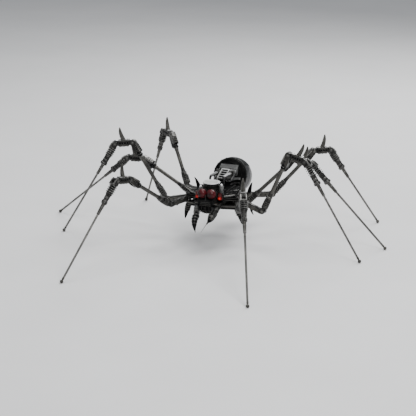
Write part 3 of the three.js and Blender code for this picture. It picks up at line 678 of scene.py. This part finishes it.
def head():
    shape = Shape()
    skull = [(-46.6, 86), (-72, 86), (-77, 91), (-77.5, 98), (-72, 104), (-66, 107), (-62, 113.6),
             (-46.6, 113.6)]
    in_profile(shape, skull, -15, 15, DARK)
    cheek = [(-46.8, 87), (-70, 87), (-75, 92), (-75, 97), (-69, 103), (-62, 104), (-58, 111), (-46.8, 111)]
    for side in (-1, 1):
        inner, outer = sorted((side * 14.8, side * 17.2))
        in_profile(shape, cheek, inner, outer)
        for y, z in ((-66, 95), (-53, 93)):
            shape.bolt((side * 17.2, y, z), (side, 0, 0), 1.8, 1.2)
    # ribbed neck under the turret
    shape.block((-16.8, -47, 103.4), (16.8, -24.4, 113.8), DARK)
    for i in range(4):
        shape.block((-17.6, -46 + i * 5.6, 104.4), (17.6, -43 + i * 5.6, 112.8))
    # serrated mandible plates
    for i in range(7):
        x = -11.4 + i * 3.8
        reach = 3.0 * cos(pi * (i - 3) / 7)
        jaw = [(-47, 86.5), (-47, 80), (-50, 75.5)]
        for tooth in range(5):
            y = -52 - tooth * 4.6
            jaw += [(y - 1.4, 70.2 - reach + tooth * 0.9), (y - 2.9, 74.2 - reach + tooth * 0.9)]
        jaw += [(-76.5 - reach * 0.4, 79), (-77.5 - reach * 0.4, 86.5)]
        in_profile(shape, jaw, x - 1.0, x + 1.0, GUN if i % 2 else DARK)
    in_profile(shape, [(-47.5, 88), (-47.5, 79), (-71, 77), (-74, 80), (-74, 88)], -10.5, 10.5, DARK)
    # brow over the eyes and the bridge between them
    for i in range(3):
        y = -61.5 - i * 2.6
        shape.block((-16 + i * 1.5, y - 0.8, 112 - i * 0.4), (16 - i * 1.5, y + 0.8, 115.4 - i * 1.6))
    shape.block((-0.8, -76.5, 98), (0.8, -62, 110))
    for i in range(4):
        shape.block((-12 + i, -78.4 + i * 0.5, 88.2 + i * 3.0), (12 - i, -76 + i * 0.5, 90 + i * 3.0))
    socket = [(-8.5, 8.0), (-8.5, 9.7), (-3, 10.7), (-1.0, 10.7), (-0.4, 10.3), (-0.4, 9.5), (-3, 8.9)]
    for side in (-1, 1):
        rim = along(gaze(side), EYE_AT[side])
        shape.hoop(socket, DARK, rim, 40)
        shape.hoop([(-5.0, 10.2), (-5.0, 11.0), (-3.8, 11.0), (-3.8, 10.2)], GUN, rim, 40)
    for side in (-1, 1):
        # bracket of the side lamp
        x = side * LAMP["x"]
        low, high = sorted((side * 16.2, side * 28.2))
        shape.block((low, -55.0, 90), (high, -46.6, 108.5), DARK)
        shape.block((low, -69.5, 88.2), (high - 0.4, -46.6, 91.6))
        shape.block((x - 6.2, -56.2, 96.2), (x + 6.2, -54.6, 104.4))
        for z in (93, 106.8):
            shape.bolt((side * 28, -50, z), (side, 0, 0), 1.3, 0.9)
        marker_post(shape, side)
        # cable guides from the lamp block to the jaw
        for i in range(3):
            guide = along((0, -1, 0), (side * (14 + i * 3.4), -69 - i, 92.5))
            shape.turned([(0, 1.5), (5.2 - i, 1.5), (5.6 - i, 1.1)], BARE, guide, 12)
    shape.build("head", CHASSIS, "thorax", ["head_housing"], 0.25, edge=GUN)


def eyes():
    """Each lens is the front of a ball, from 4 mm behind its centre."""
    first = acos(-4 / EYE["radius"])
    angles = [first * (1 - i / 14.5) for i in range(15)]
    stations = [(EYE["radius"] * cos(a), EYE["radius"] * sin(a)) for a in angles]
    for side, name in HANDS:
        # the lens is darkest round a point below and towards -X of its front: painted shade there and a
        # painted highlight on the far upper side, over a brighter red rim
        painted_shade_centre = CHASSIS @ (EYE_AT[side] + gaze(side) * 7.5 + Vector((-3.5, 0, -3.5)))
        lens = lens_material(f"{name}_eye_glass", (0.0135, 0.003, 0.0034), (0.064, 0.005, 0.0076),
                             centre=painted_shade_centre, reach=0.012, coat=0.12)
        shape = Shape()
        shape.turned(stations, 0, along(gaze(side), EYE_AT[side]), 40)
        shape.build(f"{name}_eye", CHASSIS, "thorax", [f"{name}_eye_lens"], 0.15, [lens], 0)


def rounded_box_ring(half_width, half_height, y, steps=32, power=0.6):
    """Loop in the XZ plane between an ellipse and a rectangle."""
    def squared(value):
        return copysign(abs(value) ** power, value)

    angles = [2 * pi * i / steps for i in range(steps)]
    return [(half_width * squared(cos(a)), y, half_height * squared(sin(a))) for a in angles]


def lamps():
    """A lit lens with two dark marker blocks above it, on each side of the head."""
    lit, marker = 0, 1
    for side, name in HANDS:
        place = Matrix.Translation((LAMP["x"] * side, LAMP["y"], LAMP["z"]))
        middle = CHASSIS @ (place @ Vector((0, -4.9, 0)))
        glass = lens_material(f"{name}_lamp_glass", (0.78, 0.036, 0.026), (0.11, 0.0035, 0.0042),
                              centre=middle, reach=0.0045, coat=0.2, glow=0.09)
        # marker glass is brighter red near the lamp's middle and darker away from it: painted glow of the
        # lamp
        block = lens_material(f"{name}_marker_glass", (0.11, 0.0055, 0.007), (0.026, 0.0018, 0.0025),
                              centre=middle, reach=0.014, coat=0.3)
        shape = Shape()
        rows = [rounded_box_ring(4.5 * grow, 2.9 * grow, y)
                for y, grow in ((0, 0.86), (-1.5, 1.0), (-3.4, 1.0), (-4.6, 0.86), (-5.3, 0.55))]
        shape.skin(rows, lit, place)
        shape.block((-3.4, -3.6, 3.0), (0.2, 0, 10.6), marker, place)
        shape.block((0.5, -3.0, 3.0), (3.4, 0, 10.2), marker, place)
        shape.build(f"{name}_lamp", CHASSIS, "thorax", [f"{name}_side_lamp"], 0.4, [glass, block],
                    marker)


def turret():
    base = upright(0, TURRET["y"], TURRET["z"])
    drum = Shape()
    drum.turned([(0, 16), (0.5, 16.4), (2.6, 16.4), (3, 15.2), (6, 15.2), (6.4, 16.2), (8, 16.2), (8.3, 15.4),
                 (10.2, 15.4)], DARK, base, 64)
    for i in range(24):
        turn = Matrix.Rotation(radians(15 * i), 4, "Z")
        fin = Matrix.Translation((0, TURRET["y"], TURRET["z"])) @ turn
        drum.block((-0.6, 14.8, 3.1), (0.6, 16.4, 5.9), GUN, fin)
    drum.build("drum", CHASSIS, "thorax", ["turret_drum"], 0.3, edge=GUN)
    cap = Shape()
    cap.turned([(10.6, 16.2), (10.9, 16.8), (12.5, 17.0)], DARK, base, 72)
    cap.turned([(12.45, 17.0), (13.1, 17.2), (13.5, 16.8)], BRIGHT, base, 72)
    cap.hoop([(13.3, 14.6), (13.3, 16.4), (13.9, 16.2), (13.9, 14.8)], BRIGHT, base, 72)
    cap.turned([(13.4, 13.8), (13.6, 13.7)], LIGHT, base, 60)
    cap.hoop([(13.5, 4.9), (13.5, 5.5), (13.8, 5.5), (13.8, 4.9)], LIGHT, base, 40)
    cap.turned([(3.6, 2.7), (10.8, 2.7)], BARE, base, 20)
    cap.build("turret_disc", CHASSIS, "turret", ["turret_cap"], 0.2, edge=BRIGHT)


# ---------- Jaws ----------

def jaws():
    for side, name in HANDS:
        pivot, pin = pin_at(f"{name}_fang_hinge")
        pitch = radians(FANG_PITCH)
        place = basis(pivot, pin.cross(UP) * cos(pitch) + UP * sin(pitch), pin)
        jaw = Shape()
        jaw.turned([(-21.5, 4.6), (-20.5, 5.2), (-11.6, 5.2), (-11, 6.0), (-9.2, 6.0), (-8.8, 5.2),
                    (-8.2, 6.1), (-6.8, 6.1), (-6.4, 4.8)], PALE if side < 0 else GUN)
        jaw.block((-24.0, -4.4, 0.4), (-17.4, 4.4, 6.2), DARK)
        eye(jaw, -8)
        jaw.build(f"{name}_jaw", place, "thorax", [f"{name}_chelicera"], 0.3)
        fang(side, name, place)
        if side > 0:
            needle = Shape()
            needle.turned([(23, 0.9), (27, 0.9), (27.4, 0.75), (40, 0.5), (50.8, 0.16)], BARE, sides=14)
            needle.hoop([(26.2, 0.7), (26.2, 1.6), (27.6, 1.5), (27.6, 0.7)], BARE, sides=16)
            needle.build("injector_needle", place, f"{name}_fang", ["needle"], 0.1)


def fang(side, name, place):
    """Curved blade with four bands, which turns on the jaw's pin."""
    root, swell, slant = 7, 6.3, 1.8    # blade's start, its radius there and how late it narrows
    shape = Shape()
    for cheek in (-1, 1):
        side_plate(shape, stadium(0, 8, 5.2), cheek * CHEEK["y"], CHEEK["thick"])
        pin_head(shape, cheek)
    hinge_pin(shape)
    blade = FANG_LENGTH[side] - root
    tip = 1.7 if side > 0 else 0.5      # the left one is blunt, to carry the needle
    stations = [(0, 5.2), (0.8, 6.2), (2.4, 6.6), (3.2, 6.0), (4.2, 6.4)]
    for i in range(1, 15):
        t = i / 14
        radius = swell * (1 - t ** slant) + 0.8 * sin(pi * t)
        stations.append((4.2 + (blade - 4.2) * t, max(tip, radius)))
    bow = (3 * side, 2.5)
    shape.turned(stations, DARK, Matrix.Translation((root, 0, 0)), 32, bow, 0.92)
    for i in range(4):
        x = 4 + i * (blade - 8) / 5
        t = x / blade
        arch = 4 * t * (1 - t)
        radius = swell * (1 - t ** slant) + 0.9
        band = [(x, radius - 1.4), (x, radius + 0.25), (x + 1.2, radius + 0.2), (x + 1.2, radius - 1.4)]
        shape.hoop(band, ROD, Matrix.Translation((root, bow[0] * arch, bow[1] * arch)), 32)
    shape.build(f"{name}_claw", place, f"{name}_fang", [f"{name}_fang"], 0.25)


# ---------- Waist and abdomen ----------

def yoke():
    shape = Shape()
    shape.block((-18, -20, 103), (18, -8, 105.6), DARK)
    riser = [(-14, 104), (-9, 104), (-9, 124), (-6, 127), (-6, 130.6), (-14, 129)]
    lever = [(-14, 129.4), (-9, 127.8), (33, 126.2), (39, 124.9), (41.6, 126), (42.6, 128.5), (41.6, 131),
             (39, 132.1), (34, 130.4), (-7, 131.4), (-12, 131.4)]
    bar = [(-9.5, 131.8), (-8, 130.5), (12, 129.0), (29, 127.0), (36, 127.5), (28, 130.4), (10, 132.2),
           (-6, 133.5), (-9, 133.4)]
    for side in (-1, 1):
        x = side * WAIST["x"]
        for outline, half, finish in ((riser, 1.3, DARK), (lever, 1.2, DARK), (bar, 1.4, BRIGHT)):
            in_profile(shape, outline, x - half, x + half, finish)
        for y in (-17.0, -9.8):
            shape.bolt((side * 7, y, 105.5), (0, 0, 1), 1.5, 1.0)
    shape.build("waist_arms", CHASSIS, "thorax", ["waist_yoke"], 0.2, edge=GUN)


def abdomen_frame():
    """Frame on the abdomen's own axis: X runs back along it."""
    hinge = local(JOINTS["abdomen_pitch"]["pos_m"])
    centre = Vector((0, hinge.y + ABDOMEN["behind"], hinge.z - ABDOMEN["below"]))
    tilt = radians(ABDOMEN["tilt"])
    return CHASSIS @ along((0, cos(tilt), sin(tilt)), centre)


def shell_radius(x):
    """Radius of the abdomen at a distance behind its rim: a slight barrel, then half an ellipse."""
    widest = ABDOMEN["widest"]
    if x > widest:
        return ABDOMEN["radius"] * sqrt(max(0.0, 1 - ((x - widest) / ABDOMEN["tail"]) ** 2))
    return ABDOMEN["radius"] * (1 - 0.076 * ((widest - x) / widest) ** 2)


def abdomen():
    place = abdomen_frame()
    shell_metal = metal("shell_metal", (0.028, 0.028, 0.03), (0.055, 0.055, 0.057), (0.10, 0.096, 0.09),
                        rough=(0.28, 0.46), metallic=0.75, grain=260, strength=0.15)
    skin, trim, painted_shade = range(3)
    shape = Shape()
    stations = [(0.2, 33.6), (0.8, 34.6)]
    for i in range(1, 33):
        x = 0.8 + 72.0 * i / 32
        stations.append((x, shell_radius(x)))
        if i in (6, 15, 23):
            # seam groove, 0.9 mm deep
            stations += [(x + 0.15, shell_radius(x) - 0.9), (x + 1.05, shell_radius(x + 1.2) - 0.9),
                         (x + 1.2, shell_radius(x + 1.2))]
    stations.append((73.2, 3.6))
    shape.turned(stations, skin, sides=72)
    shape.hoop([(-0.4, 33.4), (-0.4, 35.3), (0.3, 35.8), (3, 35.9), (3, 34)], trim, sides=72)
    shape.hoop([(71.6, 3.2), (71.6, 6.2), (74.4, 5.4), (74.4, 3.2)], trim, sides=30)
    for i in range(20):
        a = 2 * pi * i / 20
        shape.bolt((1.8, 35.6 * cos(a), 35.6 * sin(a)), (0.15, cos(a), sin(a)), 1.1, 0.7, trim)
    # three courses of plates over the crown, two black and one gunmetal, which darken the shell's top as
    # painted shade: ends, first angle and a plate's width in degrees
    courses = ((3.6, 21.5, 21, 39, painted_shade), (22.6, 40, 21, 39, painted_shade), (41.1, 57, 30, 33, trim))
    for x0, x1, first, width, finish in courses:
        steps = [x0 + (x1 - x0) * i / 4 for i in range(5)]
        outside = [(x, shell_radius(x) + 0.7) for x in steps]
        inside = [(x, shell_radius(x) - 1) for x in reversed(steps)]
        for i in range(3):
            shape.hoop(outside + inside, finish, sides=16, start=first + i * (width + 2), sweep=width)
    shape.build("abdomen_casing", place, "abdomen", ["abdomen_shell"], 0.3,
                [shell_metal, GUNMETAL, BLACK], trim)


def abdomen_front():
    """Black disc that closes the shell, with fins that curve round the waist on each side."""
    disc = Shape()
    disc.turned([(-5, 27), (-4.4, 28.2), (-3, 31.8), (-2.4, 33.2), (-0.5, 33.4)], MATT, sides=72)
    disc.hoop([(-5.6, 24.6), (-5.6, 26.4), (-4.6, 26.8), (-4.6, 24.2)], DARK, sides=64)
    disc.hoop([(-6.4, 28.5), (-6.8, 29.8), (-3, 30.4), (-3, 28.5)], sides=40, start=-168, sweep=156)
    for side in (-1, 1):
        start = 54 if side > 0 else 86
        # the outer fin is pale metal as painted light, since it sits in the deck's shadow
        for radius, width, finish in ((33, 4.6, LIGHT), (25.4, 2.4, RIBBED), (19, 1.6, RIBBED)):
            fin = [(-9, radius), (-12, radius + width), (-3, radius + width), (-3, radius)]
            disc.hoop(fin, finish, Matrix.Translation((0, -22 * side, -41)), 24, start=start, sweep=40)
    for i in range(12):
        a = radians(-172 + 164 * i / 11)
        disc.bolt((-2.8, 31 * cos(a), 31 * sin(a)), (-1, 0, 0), 1.0, 0.7, GUN)
    disc.build("abdomen_front", abdomen_frame(), "abdomen", ["abdomen_bulkhead"], 0.25, edge=GUN)


def abdomen_deck():
    """Ribbed upper panel, ladder of treads on one side, stepped cover on the other, and the waist lugs."""
    shape = Shape()
    front, slope = DECK["y"], DECK["slope"]
    panel = [(57.6, 130.7), (67.6, 136.9), (67.2, 132.4), (62.6, 118), (57.6, 116)]
    in_profile(shape, panel, -18.2, 18.2, RIBBED)
    in_profile(shape, [(50.4, 128.2), (55.2, 130.0), (55.2, 126), (50.4, 125)], 4.6, 17.4, RIBBED)
    in_profile(shape, [(53.0, 129.5), (55.4, 130.4), (55.4, 129), (53.0, 128.4)], -13.0, 4.0, LIGHT)
    in_profile(shape, [(55.2, 129.2), (57.6, 130.0), (57.6, 120), (55.2, 120)], -17.4, 17.4, DARK)
    for i in range(4):
        y = 57.6 + i * 2.6
        z = 130.68 + i * 1.62
        shape.block((-18.7, y, z - 0.8), (18.7, y + 1.3, z + 1.3), RIBBED)
    for x0, x1 in ((-13.0, -11.2), (2.2, 4.0)):
        in_profile(shape, [(front, 118.9), (53.2, 129.6), (53.2, 126), (front, 115.4)], x0, x1, LIGHT)
    for x0, x1 in ((-18.7, -17.2), (17.2, 18.7)):
        in_profile(shape, [(front, 118.2), (57, 130.3), (57, 126), (front, 115.4)], x0, x1, PALE)
    for i in range(4):
        y = front + 0.2 + i * 7.4
        z = DECK["z"] + (y - front) * slope
        rise = z + 1.2 * slope
        tread = [(y, z + 0.3), (y + 1.2, rise + 0.3), (y + 1.2, rise - 0.3), (y, z - 0.3)]
        in_profile(shape, tread, -11.4, 2.4, LIGHT)
    for i in range(3):
        y = front + 2 + i * 10.0
        z = DECK["z"] - 0.8 + (y - front) * slope
        reach = 8.4 if i < 2 else 4.2
        step = [(y, z), (y + reach, z + reach * slope), (y + reach, z - 1.4), (y, z - 2.2)]
        in_profile(shape, step, 4.6, 16.6)
        for x in (13.6, 7.4):
            shape.bolt((x, y + reach / 2, z + reach / 2 * slope), (0, -slope, 1), 1.3, 0.7, ROD)
    # black matte floor under the ladder, so the slots between the treads read dark: painted shade in the
    # recesses
    in_profile(shape, [(24.4, 115.8), (30, 116.2), (57, 122), (57, 117), (24.4, 115.0)], -17.8, 17.8, MATT)
    lug = [(33.5, 121.6), (34.5, 131.5), (37, 133), (41, 133), (43.5, 131.5), (47, 124)]
    for side in (-1, 1):
        low, high = sorted((side * 15.8, side * 18.4))
        in_profile(shape, lug, low, high)
        waist_pin = along((1, 0, 0), (side * WAIST["x"], WAIST["y"], WAIST["z"]))
        shape.turned([(-2.4, WAIST["pin"]), (2.4, WAIST["pin"])], BARE, waist_pin, 16)
        shape.bolt((side * 18.3, WAIST["y"], WAIST["z"]), (side, 0, 0), 1.9, 1.2)
    shape.build("abdomen_deck", CHASSIS, "abdomen", ["abdomen_top_plate"], 0.15)


def inner_parts():
    """Finishes of the two pieces that sit inside."""
    wrap = metal("battery_wrap", (0.008, 0.03, 0.07), (0.012, 0.045, 0.1), (0.03, 0.07, 0.14),
                 rough=(0.4, 0.6), metallic=0.0, grain=120, strength=0.1)
    resist = metal("board_resist", (0.006, 0.05, 0.02), (0.01, 0.09, 0.03), (0.02, 0.13, 0.05),
                   rough=(0.3, 0.5), metallic=0.0, grain=400, strength=0.1)
    for node, material in (("battery_pack", wrap), ("control_board", resist)):
        data = frame["nodes"][node].data
        data.materials.clear()
        data.materials.append(material)


# ---------- Stage ----------

CAMERA = {"azimuth": 20.14, "elevation": 16.21, "lens": 128.5, "distance": 2.968}   # azimuth is to its left
AIM = {"right": -0.0212, "up": 0.063}               # metres from the chassis centre on the floor
FLOOR = 8                                           # half its side, metres
SKY = (0.86, 0.89, 0.94, 1)
LIGHT_AIM = Vector((0, 0, 0.1))
LIGHTS = {                                          # place and size in metres, power in watts
    "key": ((1.4, -1.2, 1.9), (0.9, 0.9), 42),
    "fill": ((-1.8, -1.6, 1.1), (1.4, 1.0), 11),
    "rim": ((0.3, 1.9, 1.5), (1.6, 0.5), 38),
    "top": ((0.1, 0.3, 2.3), (1.2, 1.2), 32),
}


def camera():
    azimuth, elevation = radians(CAMERA["azimuth"]), radians(CAMERA["elevation"])
    right = Vector((cos(azimuth), sin(azimuth), 0))
    back = Vector((sin(azimuth) * cos(elevation), -cos(azimuth) * cos(elevation), sin(elevation)))
    target = Vector(CHASSIS.translation) + right * AIM["right"] + UP * AIM["up"]
    data = bpy.data.cameras.new("camera")
    data.sensor_width = 36
    data.lens = CAMERA["lens"]
    data.clip_end = 50
    view = add_object("camera", data)
    view.location = target + back * CAMERA["distance"]
    view.rotation_euler = (-back).to_track_quat("-Z", "Y").to_euler()
    bpy.context.scene.camera = view


def area_light(name, location, size, power):
    data = bpy.data.lights.new(name, "AREA")
    data.shape = "RECTANGLE"
    data.size, data.size_y = size
    data.energy = power
    light = add_object(name, data)
    light.location = location
    light.rotation_euler = (LIGHT_AIM - Vector(location)).to_track_quat("-Z", "Y").to_euler()


def stage():
    """Pale floor, even sky and soft lights."""
    material, nodes, links, shader = node_material("pale_floor")
    where = nodes.new("ShaderNodeTexCoord").outputs["Object"]
    tone = ramp(nodes, links, noise(nodes, links, where, 3, 3), [(0.3, 0.70), (0.7, 0.74)])
    links.new(tone, shader.inputs["Base Color"])
    shader.inputs["Roughness"].default_value = 0.9
    mesh = bmesh.new()
    bmesh.ops.create_grid(mesh, x_segments=1, y_segments=1, size=FLOOR)
    data = bpy.data.meshes.new("floor")
    mesh.to_mesh(data)
    mesh.free()
    data.materials.append(material)
    floor = add_object("floor", data)
    world = bpy.data.worlds.new("studio")
    world.use_nodes = True
    background = world.node_tree.nodes["Background"]
    background.inputs["Color"].default_value = SKY
    background.inputs["Strength"].default_value = 0.42
    bpy.context.scene.world = world
    for name, (location, size, power) in LIGHTS.items():
        area_light(name, location, size, power)


camera()
stage()
chassis_base()
chassis_cover()
head()
eyes()
lamps()
turret()
jaws()
yoke()
abdomen()
abdomen_front()
abdomen_deck()
inner_parts()
for leg in LEGS:
    coxa(leg)
    femur(leg)
    patella(leg)
    tibia(leg)
